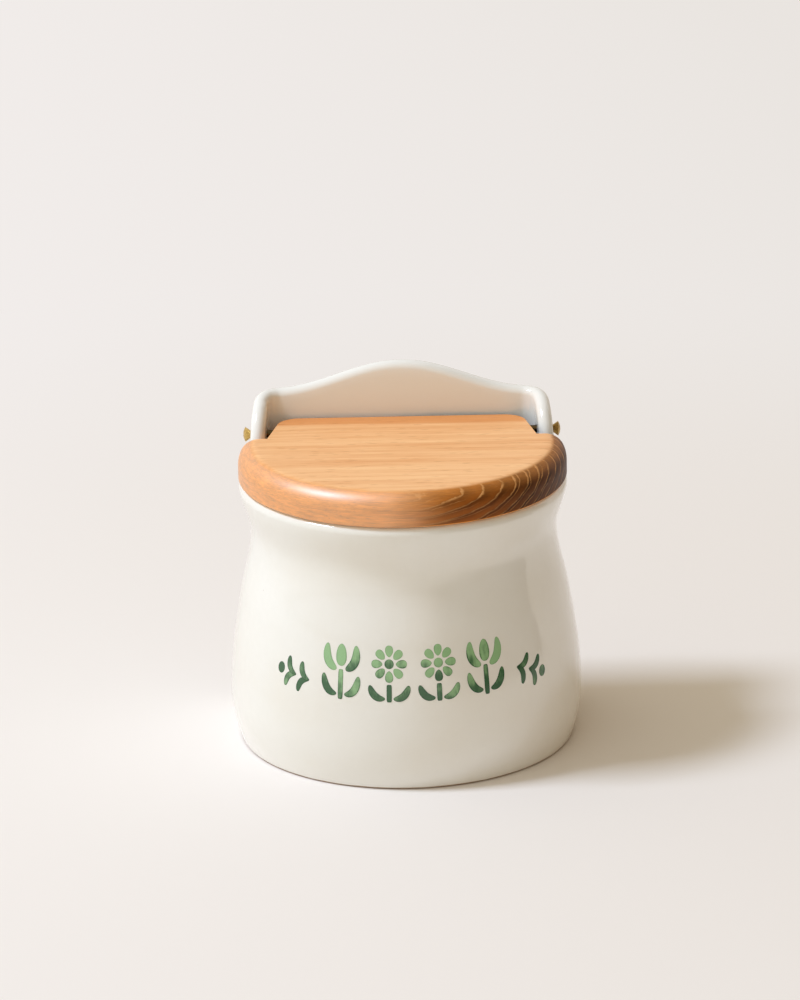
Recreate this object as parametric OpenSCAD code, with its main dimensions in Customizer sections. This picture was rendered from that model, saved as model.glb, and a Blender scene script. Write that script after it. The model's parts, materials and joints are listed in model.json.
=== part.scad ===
// Salt box: a round stoneware crock with a flat, raised back and two ears, and a
// one-piece wooden lid that swings between the ears on two brass screws.
// Origin: on the axis of the round front, at the floor. Front is -Y. Millimetres.

/* [Crock] */
// Widest part of the body, across the belly
body_w = 141; // [125:1:165]
// Height of the belly above the floor
belly_z = 19; // [15:1:28]
// How much narrower the foot is than the belly, on each side
foot_in = 3.7; // [1:0.1:6]
// How much narrower the neck is than the belly, on each side
neck_in = 9.5; // [6:0.5:11]
// Height of the neck
neck_z = 87; // [80:1:92]
// How far the rolled rim stands out from the neck
rim_out = 4.3; // [3:0.1:5.5]
// Top of the rim, where the lid rests
rim_z = 107.7; // [104:0.1:116]
// Thickness of the fired wall
wall = 6; // [5:0.25:7]
// Thickness of the floor
floor_t = 7; // [5:0.5:10]
// Inside rounding between wall and floor
floor_round = 9; // [4:0.5:12]

/* [Flat back and ears] */
// Distance from the round axis to the flat back
back_y = 40.2; // [39.5:0.1:44]
// Inward lean of the straight sides behind the round front, degrees
side_taper = 6.5; // [5:0.5:9]
// Outside rounding of the two back corners
corner_r = 12; // [10:0.5:14]
// How much narrower the ears are than the rim, on each side
ear_in = 2.8; // [2:0.1:3]
// Height of the ears and of the panel's ends above the rim
ear_rise = 24.8; // [23:0.1:27]
// Front edge of the ears, measured back from the round axis
ear_front_y = 15.2; // [13.5:0.1:16]
// Length of the ears' rounded front, measured along the wall
ear_sweep = 24.7; // [22:0.1:26]
// Hollow rounding where the rim turns up into an ear
ear_fillet = 3.5; // [2:0.5:5]
// Rise of the panel's hump above its ends
hump_rise = 11.4; // [6:0.1:18]
// Level stretch between an ear's rounded front and the hump, along the wall
hump_flat = 3; // [0.5:0.5:12]

/* [Lid] */
// Thickness of the board
lid_t = 13.5; // [12:0.1:16]
// Overhang of the lid beyond the rim
lid_over = 0; // [0:0.1:1.5]
// Rounding of the lid's top edge
lid_round = 8; // [4:0.5:10]
// Rounding of the lid's lower edge
lid_ease = 0.8; // [0.3:0.1:1.5]
// Rear faces of the two shoulders, measured back from the round axis
shoulder_y = 7; // [4:0.1:8]
// Inward lean of the tongue's sides, degrees
tongue_taper = 12; // [9:0.5:14]
// Rounding of the tongue's back corners
tongue_round = 7; // [5:0.5:10]
// Gap between the tongue's back edge and the panel
back_gap = 1.9; // [1.5:0.1:2.5]

/* [Hinge screws] */
// Distance from the screw axis to the tongue's back edge
pivot_back = 7.4; // [7:0.1:8.5]
// Depth of the screw axis under the lid's top
pivot_drop = 3.9; // [3.5:0.1:5]
// Diameter of the screw's shank
shank_d = 3; // [2.5:0.1:3.5]
// Diameter of the screw's head
head_d = 6; // [5:0.1:7]
// Length of the cone under the head
head_cone = 2.1; // [1.5:0.1:2.6]
// Height of the head's domed top
head_dome = 0.9; // [0.5:0.1:1.3]
// Shank length under the head
shank_l = 19; // [16:0.5:24]
// Length of the screw's point
point_l = 3.5; // [2:0.5:5]
// Width across the cross recess for the driver
recess_d = 3.6; // [3:0.1:4]
// Depth of the cross recess
recess_deep = 1.7; // [1:0.1:1.9]
// Width of each of the recess's four wings
wing_w = 0.8; // [0.6:0.1:1]

/* [Clearances] */
// Lid above the rim
seat_gap = 0.3; // [0.2:0.05:0.6]
// Gap between the tongue and each ear, at the shoulders
tongue_gap = 2.4; // [2.2:0.1:3]
// Shank in the ear's hole, on the radius
turn_gap = 0.1; // [0.05:0.01:0.1]
// Shank in the lid's pilot hole, on the radius
bite_gap = 0.02; // [0.01:0.01:0.05]
// Screw head off the ear
head_gap = 0.6; // [0.3:0.1:1.2]

/* [Hidden] */
$fn = 96;

belly_r = body_w / 2;
neck_r = belly_r - neck_in;
rim_r = neck_r + rim_out;
ear_r = rim_r - ear_in;
lip = wall / 2;
rim_c = rim_z - lip;
ear_top = rim_z + ear_rise;

// The wall's outer radius against height: stations of [height, radius, slope].
foot_slope = 0.30;
flank_slope = -0.175;
rim_slope = 0.12;
flank_share = 0.61;
flank_in_share = 0.49;
ear_blend = 9;
foot = [0, belly_r - foot_in, foot_slope];
belly = [belly_z, belly_r, 0];
flank = [belly_z + flank_share * (neck_z - belly_z), belly_r - flank_in_share * neck_in, flank_slope];
neck = [neck_z, neck_r, 0];
rim = [rim_c, rim_r, rim_slope];
ear = [rim_c + ear_blend, ear_r, 0];

function hermite(a, b, z) =
    let (h = b[0] - a[0], t = (z - a[0]) / h)
    (2 * t ^ 3 - 3 * t ^ 2 + 1) * a[1] + (t ^ 3 - 2 * t ^ 2 + t) * h * a[2]
    + (3 * t ^ 2 - 2 * t ^ 3) * b[1] + (t ^ 3 - t ^ 2) * h * b[2];

function wall_r(z) =
    z < belly[0] ? hermite(foot, belly, z) :
    z < flank[0] ? hermite(belly, flank, z) :
    z < neck[0] ? hermite(flank, neck, z) :
    z < rim[0] ? hermite(neck, rim, z) :
    z < ear[0] ? hermite(rim, ear, z) : ear_r;

// The plan is a round front, two straight sides that lean in, rounded back corners
// and a flat back. A place on its right half is [part, share], part 0 to 3.
// An inset moves the whole outline inwards, down to the tightest corner.
tight_r = 0.8;
function corner_at(r, rc, yb) = [(r - rc - (yb - rc) * sin(side_taper)) / cos(side_taper), yb - rc];
function side_l(c) = c[1] * cos(side_taper) - c[0] * sin(side_taper);
corner_l = corner_r * (90 - side_taper) * PI / 180;

function facing(p) =
    p[0] == 0 ? -90 + p[1] * (90 + side_taper) :
    p[0] == 1 ? side_taper :
    p[0] == 2 ? side_taper + p[1] * (90 - side_taper) : 90;
function out(p) = [cos(facing(p)), sin(facing(p))];
function along(p) = [-sin(facing(p)), cos(facing(p))];

function plan(p, r, inset) =
    let (rc = max(corner_r - inset, tight_r), c = corner_at(r - inset, rc, back_y - inset))
    p[0] == 0 ? (r - inset) * out(p) :
    p[0] == 1 ? (r - inset) * out(p) + p[1] * side_l(c) * along(p) :
    p[0] == 2 ? c + rc * out(p) :
    [c[0] * (1 - p[1]), back_y - inset];

// A place given by its distance along the ear's wall behind the round front.
ear_corner = corner_at(ear_r, corner_r, back_y);
side_len = side_l(ear_corner);
back_len = ear_corner[0];
half_len = side_len + corner_l + back_len;
function place(s) =
    s < side_len ? [1, s / side_len] :
    s < side_len + corner_l ? [2, (s - side_len) / corner_l] :
    [3, min(1, (s - side_len - corner_l) / back_len)];

// The wall's top edge as [distance, height, lean], lean 0 on a level edge and 90 on
// an upright one: the rim, a hollow turn, the ear's elliptic front, then the hump.
ear_s = (ear_front_y - ear_r * sin(side_taper)) / cos(side_taper);
ear_b = ear_rise - ear_fillet;
hump_s = ear_s + ear_sweep + hump_flat;
hump_half = half_len - hump_s;
function turn_edge(a) = [
    ear_s - ear_fillet * (1 - sin(a)), rim_z + ear_fillet * (1 - cos(a)), a];
function front_edge(a) = [
    ear_s + ear_sweep * (1 - cos(a)), rim_z + ear_fillet + ear_b * sin(a),
    atan2(ear_b * cos(a), ear_sweep * sin(a))];
function hump_edge(t) =
    let (slope = hump_rise / 2 * sin(180 * t) * PI / hump_half)
    [hump_s + t * hump_half, ear_top + hump_rise / 2 * (1 - cos(180 * t)), atan(slope)];

// Columns of the shell on the right half: [place, height of the lip's centre, lean].
front_cols = 21;
rim_cols = 2;
turn_cols = 3;
ear_cols = 16;
hump_cols = 14;
function lip_col(e) = [place(e[0] + lip * sin(e[2])), e[1] - lip * cos(e[2]), e[2]];
half_cols = [
    for (i = [0 : front_cols - 1]) [[0, i / front_cols], rim_c, 0],
    for (i = [0 : rim_cols - 1]) lip_col([i * (ear_s - ear_fillet) / rim_cols, rim_z, 0]),
    for (i = [0 : turn_cols - 1]) lip_col(turn_edge(90 * i / turn_cols)),
    for (i = [0 : ear_cols - 1]) lip_col(front_edge(90 * i / ear_cols)),
    for (i = [0 : hump_cols]) lip_col(hump_edge(i / hump_cols))
];
n_half = len(half_cols);

// One column of the shell from the middle of the underside, up the outside, over
// the lip, down the inside and to the middle of the floor.
foot_ease = 1;
rise_deep = 5;
split_z = rim_c - rise_deep;
foot_n = 2;
outer_n = 14;
rise_n = 6;
lip_n = 6;
inner_n = 10;
round_n = 4;
inner_foot = floor_t + floor_round;

function shell_pt(c, z, inset) =
    let (q = plan(c[0], wall_r(z), inset))
    [q[0], q[1], z];
function lip_pt(c, a) =
    let (q = plan(c[0], wall_r(c[1]), lip - lip * cos(a)) - lip * sin(a) * sin(c[2]) * along(c[0]))
    [q[0], q[1], c[1] + lip * sin(a) * cos(c[2])];
function column(c) = [
    for (i = [0 : foot_n])
        let (a = 90 * i / foot_n)
        shell_pt(c, foot_ease * (1 - cos(a)), foot_ease * (1 - sin(a))),
    for (i = [1 : outer_n]) shell_pt(c, foot_ease + (split_z - foot_ease) * i / outer_n, 0),
    for (i = [1 : rise_n - 1]) shell_pt(c, split_z + (c[1] - split_z) * i / rise_n, 0),
    for (i = [0 : lip_n]) lip_pt(c, 180 * i / lip_n),
    for (i = [rise_n - 1 : -1 : 1]) shell_pt(c, split_z + (c[1] - split_z) * i / rise_n, wall),
    for (i = [0 : inner_n]) shell_pt(c, split_z + (inner_foot - split_z) * i / inner_n, wall),
    for (i = [1 : round_n])
        let (a = 90 * i / round_n)
        shell_pt(c, inner_foot - floor_round * sin(a), wall + floor_round * (1 - cos(a)))
];

function flip(p) = [-p[0], p[1], p[2]];
columns = concat(
    [for (c = half_cols) column(c)],
    [for (i = [n_half - 2 : -1 : 1]) [for (p = column(half_cols[i])) flip(p)]]);
n_cols = len(columns);
n_rows = len(columns[0]);
under = [0, 0, 0];
inside = [0, 0, floor_t];

module shell() {
    function at(i, j) = (i % n_cols) * n_rows + j;
    last = n_cols * n_rows;
    polyhedron(
        points = concat([for (c = columns) each c], [under, inside]),
        faces = concat(
            [for (i = [0 : n_cols - 1], j = [0 : n_rows - 2]) each [
                [at(i, j), at(i, j + 1), at(i + 1, j + 1)],
                [at(i, j), at(i + 1, j + 1), at(i + 1, j)]]],
            [for (i = [0 : n_cols - 1]) [last, at(i, 0), at(i + 1, 0)]],
            [for (i = [0 : n_cols - 1]) [last + 1, at(i + 1, n_rows - 1), at(i, n_rows - 1)]]));
}

// How far a cut reaches past what it cuts.
past = 1;

// Places that the lid and its screws share.
lid_z = rim_z + seat_gap;
lid_top = lid_z + lid_t;
lid_r = rim_r + lid_over;
tongue_y = back_y - wall - back_gap;
pivot_y = tongue_y - pivot_back;
pivot_z = lid_top - pivot_drop;
function side_x(r, y) = (r - y * sin(side_taper)) / cos(side_taper);
ear_face = side_x(ear_r, pivot_y);
head_x = ear_face + head_gap;
tongue_half = side_x(ear_r - wall, shoulder_y) - tongue_gap;

module on_pivot(side) {
    translate([0, pivot_y, pivot_z]) rotate([0, side * 90, 0]) children();
}

module crock() {
    color("#f4f0e4")
    difference() {
        shell();
        for (side = [-1, 1])
            on_pivot(side)
            translate([0, 0, ear_face - 2 * wall])
            cylinder(h = 3 * wall, d = shank_d + 2 * turn_gap);
    }
}

// Half section of the lid's round part: a board with a rounded top edge.
module lid_section() {
    square([lid_r - lid_round, lid_t]);
    translate([0, lid_ease]) square([lid_r, lid_t - lid_round - lid_ease]);
    square([lid_r - lid_ease, lid_t - lid_round]);
    translate([lid_r - lid_ease, lid_ease]) circle(lid_ease);
    translate([lid_r - lid_round, lid_t - lid_round])
        intersection() {
            circle(lid_round);
            square(lid_round);
        }
}

// Plan of the tongue: sides that lean in and rounded back corners.
module tongue_plan() {
    back_half = tongue_half - (tongue_y - shoulder_y) * tan(tongue_taper);
    turn = (90 + tongue_taper) / 2;
    cut = tongue_round * tan(90 - turn);
    cx = back_half - cut;
    difference() {
        polygon([
            [-tongue_half, shoulder_y], [-back_half, tongue_y],
            [back_half, tongue_y], [tongue_half, shoulder_y],
            [lid_r - lid_round, 0], [lid_round - lid_r, 0]]);
        for (side = [-1, 1])
            scale([side, 1])
            difference() {
                polygon([[cx, tongue_y + past], [back_half + past, tongue_y + past],
                    [back_half + past, tongue_y - cut], [cx, tongue_y - tongue_round]]);
                translate([cx, tongue_y - tongue_round]) circle(tongue_round);
            }
    }
}

module lid() {
    color("#dfa06a")
    difference() {
        translate([0, 0, lid_z]) {
            intersection() {
                rotate_extrude() lid_section();
                translate([-body_w, -body_w, -past])
                    cube([2 * body_w, body_w + shoulder_y, lid_t + 2 * past]);
            }
            linear_extrude(lid_t) tongue_plan();
        }
        for (side = [-1, 1])
            on_pivot(side)
            translate([0, 0, head_x - shank_l - past])
            cylinder(h = shank_l, d = shank_d + 2 * bite_gap);
    }
}

// A brass wood screw with a raised countersunk head, its axis along +Z.
module screw() {
    color("#c9a24a")
    difference() {
        rotate_extrude() screw_section();
        translate([0, 0, head_cone + head_dome - recess_deep]) cross_recess();
    }
}

// Four wings that a cone cuts shorter towards the bottom of the recess.
module cross_recess() {
    intersection() {
        cylinder(h = recess_deep + past, d1 = 2 * wing_w, d2 = recess_d);
        for (turn = [0, 90])
            rotate(turn)
            translate([-recess_d / 2, -wing_w / 2, 0])
            cube([recess_d, wing_w, recess_deep + past]);
    }
}

module screw_section() {
    dome_r = ((head_d / 2) ^ 2 + head_dome ^ 2) / (2 * head_dome);
    polygon([[0, -shank_l], [shank_d / 2, point_l - shank_l], [shank_d / 2, 0],
        [head_d / 2, head_cone], [0, head_cone]]);
    intersection() {
        translate([0, head_cone]) square([head_d / 2, head_dome]);
        translate([0, head_cone + head_dome - dome_r]) circle(dome_r);
    }
}

module hinge_screw_left() {
    on_pivot(-1) translate([0, 0, head_x]) screw();
}

module hinge_screw_right() {
    on_pivot(1) translate([0, 0, head_x]) screw();
}

crock();
lid();
hinge_screw_left();
hinge_screw_right();
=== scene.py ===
"""Salt box: a glazed stoneware crock with a flat raised back, a wooden lid and two brass hinge screws."""

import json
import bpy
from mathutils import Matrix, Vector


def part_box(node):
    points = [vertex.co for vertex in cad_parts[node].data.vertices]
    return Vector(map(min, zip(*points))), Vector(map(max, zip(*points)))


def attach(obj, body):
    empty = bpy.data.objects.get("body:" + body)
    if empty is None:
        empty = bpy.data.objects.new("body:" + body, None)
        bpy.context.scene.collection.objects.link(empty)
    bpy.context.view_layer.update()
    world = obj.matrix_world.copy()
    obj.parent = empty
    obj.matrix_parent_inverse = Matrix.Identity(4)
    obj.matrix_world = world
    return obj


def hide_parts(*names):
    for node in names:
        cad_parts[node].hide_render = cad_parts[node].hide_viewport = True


bl_info = {
    "name": "Salt box with hinged lid",
    "version": (1, 0, 0),
    "blender": (4, 5, 0),
    "location": "3D view > Sidebar > Salt box",
    "description": "Models the crock, its stencilled band, the lid and the screws around a fixed frame",
    "category": "Object",
}

from math import asin, atan, atan2, cos, pi, radians, sin, sqrt, tan

import bpy
from bpy.props import FloatProperty, FloatVectorProperty, PointerProperty
from mathutils import Matrix, Vector, noise

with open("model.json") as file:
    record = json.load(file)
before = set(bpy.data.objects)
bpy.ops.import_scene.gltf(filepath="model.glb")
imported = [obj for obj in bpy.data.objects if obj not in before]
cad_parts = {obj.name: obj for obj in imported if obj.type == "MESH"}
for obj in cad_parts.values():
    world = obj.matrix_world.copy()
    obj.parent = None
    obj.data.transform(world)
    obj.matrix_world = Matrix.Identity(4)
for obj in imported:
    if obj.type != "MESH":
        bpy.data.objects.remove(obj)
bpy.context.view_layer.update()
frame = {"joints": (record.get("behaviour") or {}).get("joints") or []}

MM = 0.001
ROUND_VERTICES = 48
CROCK_LOW, CROCK_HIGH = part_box("crock")
LID_LOW, LID_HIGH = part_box("lid")
SCREW_LOW, SCREW_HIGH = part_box("hinge_screw_right")
HINGE = Vector(frame["joints"][0]["pos_m"])


def length(name, description, millimetres):
    """A size property in metres, its default given in millimetres."""
    return FloatProperty(
        name=name, description=description, default=millimetres * MM, unit="LENGTH", precision=5)


def angle(name, description, degrees):
    """An angle property, its default given in degrees."""
    return FloatProperty(
        name=name, description=description, default=radians(degrees), subtype="ANGLE")


def colour(name, description, default):
    """A colour property in linear red, green and blue."""
    return FloatVectorProperty(
        name=name, description=description, default=default, size=3, min=0, max=1, subtype="COLOR")


class CrockSettings(bpy.types.PropertyGroup):
    """Sizes and colours of the crock."""

    belly: length("Belly radius", "Widest radius of the body", 70.5)
    belly_height: length("Belly height", "Height of the widest part", 19)
    foot: length("Foot radius", "Radius where the body meets the table", 66.8)
    neck: length("Neck radius", "Narrowest radius under the rim", 61)
    neck_height: length("Neck height", "Height of the neck", 87)
    rim: length("Rim radius", "Radius of the rolled rim", 65.3)
    rim_height: length("Rim height", "Height of the rim that the lid rests on", 107.7)
    wall: length("Wall", "Thickness of the fired wall", 6)
    floor: length("Floor", "Thickness of the floor", 7)
    floor_round: length("Floor rounding", "Rounding between wall and floor", 9)
    ear_radius: length("Ear radius", "Radius of the wall in the ears", 62.5)
    taper: angle("Side taper", "Inward lean of the straight sides", 6.5)
    corner: length("Back corners", "Rounding of the two back corners", 12)
    ear_rise: length("Ear rise", "Height of the ears above the rim", 24.8)
    ear_front: length("Ear front", "Where the ears begin, behind the round axis", 15.2)
    ear_sweep: length("Ear sweep", "Length of the ears' rounded front", 24.7)
    ear_fillet: length("Ear fillet", "Hollow rounding where the rim turns up", 3.5)
    hump_rise: length("Hump rise", "Rise of the hump above the panel's ends", 11.4)
    hump_flat: length("Hump start", "Level stretch between an ear's rounded front and the hump", 3)
    crest_lean: length("Crest lean", "How far the right ear dips and the left one rises", 0.6)
    hole: length("Hinge hole", "Diameter of the hole in each ear", 3.2)
    hole_ease: length("Hole rounding", "Rounding of the hole's glazed mouth", 0.5)
    foot_ring: length("Foot ring", "Width of the flat ring that it stands on", 7)
    foot_lift: length("Foot lift", "Depth of the recess inside the foot ring", 0.8)
    waviness: length("Waviness", "Depth of the hand-finished unevenness", 0.12)
    glaze: colour("Glaze", "Colour of the glaze", (0.85, 0.83, 0.775))
    glaze_warm: colour("Warm glaze", "Colour where the glaze pools thicker", (0.82, 0.775, 0.69))
    # Painted light: a lighter, cooler glaze colour for the front of the raised back and ears.
    glaze_painted_light: colour("Thin glaze", "Colour where glaze ran off the raised back", (0.865, 0.855, 0.815))
    clay: colour("Bare clay", "Colour of the unglazed foot", (0.33, 0.20, 0.12))
    clay_pale: colour("Pale clay", "Colour of the paler grit in the foot", (0.45, 0.30, 0.19))


class StencilSettings(bpy.types.PropertyGroup):
    """Places and colours of the stencilled band."""

    height: length("Row height", "Height of the row's middle above the table", 48.5)
    shift: length("Row shift", "How far the row's middle lies to the right of the front", 3)
    pitch: length("Pitch", "Distance between neighbouring flowers", 20.2)
    proud: length("Paint height", "How far the paint stands above the glaze", 0.07)
    light: colour("Light paint", "Green where the brush was dry", (0.29, 0.50, 0.24))
    dark: colour("Dark paint", "Green where the paint pooled", (0.012, 0.085, 0.026))


class LidSettings(bpy.types.PropertyGroup):
    """Sizes and colours of the lid."""

    round_over: length("Round-over", "Rounding of the lid's top edge", 8)
    ease: length("Lower easing", "Rounding of the lid's lower edge", 0.8)
    crisp: length("Crisp edges", "Small rounding of all other edges", 0.35)
    shoulder: length("Shoulders", "Rear faces of the shoulders, behind the round axis", 7)
    tongue_gap: length("Tongue gap", "Gap between the tongue and each ear, at the shoulders", 2.4)
    taper: angle("Tongue taper", "Inward lean of the tongue's sides", 12)
    tongue_round: length("Tongue rounding", "Rounding of the tongue's back corners", 7)
    hole: length("Pilot hole", "Diameter of the pilot holes for the screws", 3.04)
    ring_width: length("Ring width", "Width of the outermost growth ring", 1.9)
    ring_tilt: angle("Ring tilt", "Tilt of the growth rings across the board", 38)
    bark: length("Bark", "Distance of the outermost ring from the origin", 132.7)
    light: colour("Light wood", "Lightest colour of the face", (0.98, 0.59, 0.29))
    warm: colour("Warm wood", "Warmest colour of the face", (0.76, 0.315, 0.100))
    edge: colour("Warm edge", "Warm colour of the rounded edge", (0.77, 0.285, 0.042))
    # Painted shade: the dark brown painted on the lid's edge at the right front, which lies in shade.
    dark: colour("Dark wood", "Colour of the oil-dark end grain at the right front", (0.10, 0.026, 0.0015))
    line: colour("Ring lines", "Colour of the thin, pale ring lines", (0.78, 0.38, 0.13))
    pore: colour("Pores", "Colour of the short dark pores", (0.50, 0.20, 0.07))


class ScrewSettings(bpy.types.PropertyGroup):
    """Sizes and colours of the hinge screws."""

    shank: length("Shank", "Diameter over the thread", 3)
    core: length("Core", "Diameter of the core inside the thread", 2.1)
    head: length("Head", "Diameter of the raised countersunk head", 6)
    cone: length("Cone", "Length of the cone under the head", 2.1)
    dome: length("Dome", "Height of the head's domed top", 0.9)
    plain: length("Plain shank", "Length under the head that has no thread", 12)
    pitch: length("Thread pitch", "Distance between the thread's turns", 1.3)
    point: length("Point", "Length of the screw's point", 3.5)
    recess: length("Recess", "Width across the cross recess", 3.4)
    brass: colour("Brass", "Colour of the brass", (0.72, 0.50, 0.17))
    # Tarnish, and also the painted shade that darkens the right screw.
    tarnish_and_shade: colour("Tarnish", "Colour of the tarnished brass", (0.30, 0.18, 0.06))
    # Painted shade: the shank's colour inside the ears, where it lies in the dark gap beside the lid.
    dull: colour("Blackened shank", "Colour of the shank inside the ears", (0.05, 0.032, 0.015))


class StudioSettings(bpy.types.PropertyGroup):
    """The floor, the lamps and the camera."""

    floor: colour("Floor", "Colour of the floor", (0.885, 0.840, 0.805))
    backdrop: colour("Backdrop", "Colour of the backdrop on the key lamp's side", (0.900, 0.860, 0.844))
    backdrop_far: colour("Far backdrop", "Colour of the backdrop on the other side", (0.820, 0.782, 0.748))
    key: FloatProperty(name="Key lamp", description="Power of the key lamp", default=60.5, unit="POWER")
    key_size: length("Key lamp size", "Side of the key lamp's soft box", 630)
    key_tint: colour("Key tint", "Colour of the key lamp", (0.715, 0.82, 1.0))
    fill_near: colour("Near fill", "Light from all around, on the side of the key lamp", (0.87, 0.80, 0.65))
    fill_front: colour("Front fill", "Light that a wall throws back on the front left", (0.80, 0.80, 0.70))
    fill_far: colour("Far fill", "Light from all around, on the other side", (0.25, 0.176, 0.096))
    # Painted reflection: the colour that only gloss sees, on the floor's front right and in the air on that
    # side.
    room: colour("Dark room", "What gloss mirrors past the paper's end", (0.08, 0.055, 0.03))
    lens: FloatProperty(name="Lens", description="Focal length in mm on a 36 mm high sensor", default=191.3)
    pitch: angle("Camera pitch", "How far the camera looks down", 19.05)
    roll: angle("Camera roll", "How far the picture turns counter-clockwise", 1.127)


class Wire:
    """A node's output that takes part in arithmetic: each operator adds one Math node."""

    def __init__(self, shader, socket):
        self.shader = shader
        self.socket = socket

    def math(self, operation, *values):
        inputs = dict(enumerate(values))
        return self.shader.node("Math", {"operation": operation}, inputs)

    def __add__(self, other):
        return self.math("ADD", self, other)

    def __radd__(self, other):
        return self.math("ADD", other, self)

    def __sub__(self, other):
        return self.math("SUBTRACT", self, other)

    def __rsub__(self, other):
        return self.math("SUBTRACT", other, self)

    def __mul__(self, other):
        return self.math("MULTIPLY", self, other)

    def __rmul__(self, other):
        return self.math("MULTIPLY", other, self)

    def __truediv__(self, other):
        return self.math("DIVIDE", self, other)

    def __pow__(self, other):
        return self.math("POWER", self, other)

    def __gt__(self, other):
        return self.math("GREATER_THAN", self, other)

    def fraction(self):
        return self.math("FRACT", self)

    def size(self):
        return self.math("ABSOLUTE", self)

    def at_least(self, other):
        return self.math("MAXIMUM", self, other)


class Shader:
    """The node tree of a material, or of the world, and the one method that adds a node to it."""

    def __init__(self, name, kind=bpy.data.materials):
        self.owner = kind.new(name)
        self.owner.use_nodes = True
        self.tree = self.owner.node_tree
        self.tree.nodes.clear()

    def node(self, kind, settings=None, inputs=None, output=0):
        node = self.tree.nodes.new("ShaderNode" + kind)
        for key, value in (settings or {}).items():
            setattr(node, key, value)
        for key, value in (inputs or {}).items():
            self.feed(node.inputs[key], value)
        return Wire(self, node.outputs[output] if node.outputs else None)

    def feed(self, socket, value):
        if isinstance(value, Wire):
            self.tree.links.new(value.socket, socket)
        elif socket.type == "RGBA":
            socket.default_value = (*value, 1)
        else:
            socket.default_value = value

    def millimetres(self):
        """The piece's own coordinates, in millimetres."""
        place = self.node("TexCoord", output="Object")
        return self.node("VectorMath", {"operation": "SCALE"}, {0: place, "Scale": 1 / MM})

    def split(self, vector):
        node = self.node("SeparateXYZ", inputs={0: vector})
        return [Wire(self, socket) for socket in node.socket.node.outputs]

    def texture(self, kind, place, scale, inputs, output):
        """A texture node whose scale is in waves per unit of the place, one or one for each axis."""
        if isinstance(scale, tuple):
            place, scale = self.node("VectorMath", {"operation": "MULTIPLY"}, {0: place, 1: scale}), 1.0
        return self.node(kind, inputs={"Vector": place, "Scale": scale, **inputs}, output=output)

    def noise(self, place, scale, detail=2, roughness=0.5):
        """Soft noise from 0 to 1."""
        return self.texture("TexNoise", place, scale, {"Detail": detail, "Roughness": roughness}, "Fac")

    def cells(self, place, scale, output="Distance"):
        """The distance to the nearest of scattered points, or that point's own colour."""
        return self.texture("TexVoronoi", place, scale, {}, output)

    def step(self, value, low, high):
        """0 below low, 1 above high and smooth between them."""
        settings = {"interpolation_type": "SMOOTHSTEP"}
        return self.node("MapRange", settings, {"Value": value, "From Min": low, "From Max": high})

    def band(self, value, start, full, fade, end):
        """1 between full and fade, 0 outside start and end."""
        return self.step(value, start, full) * (1 - self.step(value, fade, end))

    def mix(self, share, first, second):
        """A colour between first, at share 0, and second, at share 1."""
        settings = {"data_type": "RGBA"}
        return self.node("Mix", settings, {0: share, 6: first, 7: second}, output=2)

    def tint(self, colour, amount):
        """A colour made darker or brighter by a factor that varies."""
        return self.node("VectorMath", {"operation": "SCALE"}, {0: colour, "Scale": amount})

    def bump(self, height, depth):
        """A normal from heights of 0 to 1 that stand for depth in metres."""
        return self.node("Bump", inputs={"Height": height, "Distance": depth, "Strength": 1})

    def finish(self, **inputs):
        """Ends the tree in a Principled shader, its sockets named with underscores for spaces."""
        named = {key.replace("_", " "): value for key, value in inputs.items()}
        self.node("OutputMaterial", inputs={"Surface": self.node("BsdfPrincipled", inputs=named)})
        return self.owner


def glaze_material(settings):
    """Cream glaze over stoneware, a little uneven, with rare specks, bare clay at the foot and painted
    light, a lighter and cooler glaze on the front of the raised back.
    """
    s = Shader("glaze")
    place = s.millimetres()
    height = s.split(place)[2]
    mottle = s.noise(place, 0.35, detail=4, roughness=0.6)
    thick = s.step(s.noise(place, 0.022, detail=3), 0.38, 0.72)
    cream = s.mix(thick * 0.6, settings.glaze, settings.glaze_warm)
    cream = s.tint(cream, 0.985 + mottle * 0.03)
    # Painted light: above the rim, faces that look forward get the lighter, cooler glaze colour.
    backward = s.split(s.node("TexCoord", output="Normal"))[1]
    thin = s.step(height, 106, 116) * s.step(0 - backward, -0.2, 0.5)
    cream = s.mix(thin, cream, settings.glaze_painted_light)

    speck_waves = 0.11
    rare = s.split(s.cells(place, speck_waves, "Color"))[0] > 0.80
    speck = (1 - s.step(s.cells(place, speck_waves), 0.018, 0.034)) * rare
    cream = s.mix(speck * 0.55, cream, settings.clay)

    glaze_line = height + (s.noise(place, 0.12, detail=3) - 0.5) * 0.5
    bare = 1 - s.step(glaze_line, 0.55, 0.8)
    grit = s.noise(place, 2.2, detail=3)
    clay = s.tint(s.mix(grit, settings.clay, settings.clay_pale), 0.8 + grit * 0.4)

    ripple, peel = s.noise(place, 0.16), s.noise(place, 1.1)
    pitted = s.noise(place, 0.05) > 0.55
    pit = (1 - s.step(s.cells(place, 0.21), 0.03, 0.06)) * pitted
    relief = ripple * 0.55 + peel * 0.04 - pit * 0.25 + grit * bare * 0.5
    return s.finish(
        Base_Color=s.mix(bare, cream, clay), Roughness=0.07 + mottle * 0.05 + bare * 0.65,
        Normal=s.bump(relief, 0.12 * MM), Coat_Weight=(1 - bare) * 0.6, Coat_Roughness=0.05, IOR=1.5)


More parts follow.
